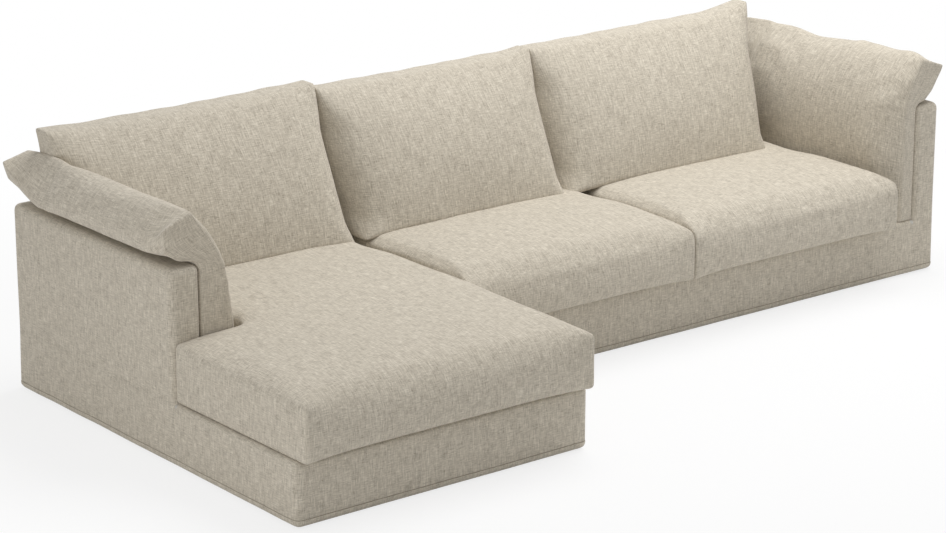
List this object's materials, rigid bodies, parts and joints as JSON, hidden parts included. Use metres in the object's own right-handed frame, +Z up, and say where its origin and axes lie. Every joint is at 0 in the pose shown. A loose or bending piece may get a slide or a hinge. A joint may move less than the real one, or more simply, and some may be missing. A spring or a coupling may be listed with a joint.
{
  "type": "sectional sofa",
  "caption": "Slipcovered linen sectional sofa with a chaise, loose seat and back cushions and arm pillows draped over low arms.",
  "frame": {"origin": "on the floor under the middle of the sofa's width and depth", "axes": "+Z up, -Y towards the front of the seat, the chaise and its arm at -X"},
  "size_m": [3.488, 1.674, 0.93],
  "materials": {
    "linen": "matte",
    "foam": "matte",
    "feather_insert": "matte",
    "lining_cloth": "matte",
    "webbing": "matte",
    "deck_felt": "matte",
    "timber": "matte",
    "hardboard": "matte",
    "glide_plastic": "matte",
    "screw_steel": "satin",
    "plate_steel": "satin"
  },
  "bodies": {
    "couch_module": {"couch_arm_foam": "foam", "couch_arm_posts": "timber", "couch_arm_rails": "timber", "couch_back_foam": "foam", "couch_back_posts": "timber", "couch_back_rails": "timber", "couch_cross_rails": "timber", "couch_deck_pad": "deck_felt", "couch_foot_blocks": "timber", "couch_front_rail": "timber", "couch_glides": "glide_plastic", "couch_left_rail": "timber", "couch_lining": "lining_cloth", "couch_lock_plates": "plate_steel", "couch_panels": "hardboard", "couch_rear_rail": "timber", "couch_right_rail": "timber", "couch_screws": "screw_steel", "couch_seat_rails": "timber", "couch_slipcover": "linen", "couch_webbing": "webbing"},
    "chaise_module": {"chaise_arm_foam": "foam", "chaise_arm_posts": "timber", "chaise_arm_rails": "timber", "chaise_back_foam": "foam", "chaise_back_posts": "timber", "chaise_back_rails": "timber", "chaise_cross_rails": "timber", "chaise_deck_pad": "deck_felt", "chaise_foot_blocks": "timber", "chaise_front_rail": "timber", "chaise_glides": "glide_plastic", "chaise_left_rail": "timber", "chaise_lining": "lining_cloth", "chaise_lock_plates": "plate_steel", "chaise_panels": "hardboard", "chaise_rear_rail": "timber", "chaise_right_rail": "timber", "chaise_screws": "screw_steel", "chaise_seat_rails": "timber", "chaise_slipcover": "linen", "chaise_webbing": "webbing"},
    "chaise_seat": {"chaise_seat_core": "foam", "chaise_seat_cushion": "linen"},
    "middle_seat": {"middle_seat_core": "foam", "middle_seat_cushion": "linen"},
    "right_seat": {"right_seat_core": "foam", "right_seat_cushion": "linen"},
    "left_back": {"left_back_core": "feather_insert", "left_back_cushion": "linen"},
    "middle_back": {"middle_back_core": "feather_insert", "middle_back_cushion": "linen"},
    "right_back": {"right_back_core": "feather_insert", "right_back_cushion": "linen"},
    "left_pillow": {"left_arm_pillow": "linen", "left_arm_pillow_core": "feather_insert"},
    "right_pillow": {"right_arm_pillow": "linen", "right_arm_pillow_core": "feather_insert"}
  },
  "joints": [
    {"name": "chaise_module_lift", "type": "slide", "parent": "couch_module", "child": "chaise_module", "axis": [0, 0, 1], "range_m": [0, 0.06]},
    {"name": "chaise_seat_slide", "type": "slide", "parent": "chaise_module", "child": "chaise_seat", "axis": [0, -1, 0], "range_m": [0, 0.36]},
    {"name": "middle_seat_slide", "type": "slide", "parent": "couch_module", "child": "middle_seat", "axis": [0, -1, 0], "range_m": [0, 0.36]},
    {"name": "right_seat_slide", "type": "slide", "parent": "couch_module", "child": "right_seat", "axis": [0, -1, 0], "range_m": [0, 0.36]},
    {"name": "left_back_lift", "type": "slide", "parent": "chaise_module", "child": "left_back", "axis": [0, 0, 1], "range_m": [0, 0.5]},
    {"name": "middle_back_lift", "type": "slide", "parent": "couch_module", "child": "middle_back", "axis": [0, 0, 1], "range_m": [0, 0.5]},
    {"name": "right_back_lift", "type": "slide", "parent": "couch_module", "child": "right_back", "axis": [0, 0, 1], "range_m": [0, 0.5]},
    {"name": "left_pillow_lift", "type": "slide", "parent": "chaise_module", "child": "left_pillow", "axis": [0, 0, 1], "range_m": [0, 0.45]},
    {"name": "right_pillow_lift", "type": "slide", "parent": "couch_module", "child": "right_pillow", "axis": [0, 0, 1], "range_m": [0, 0.45]}
  ]
}
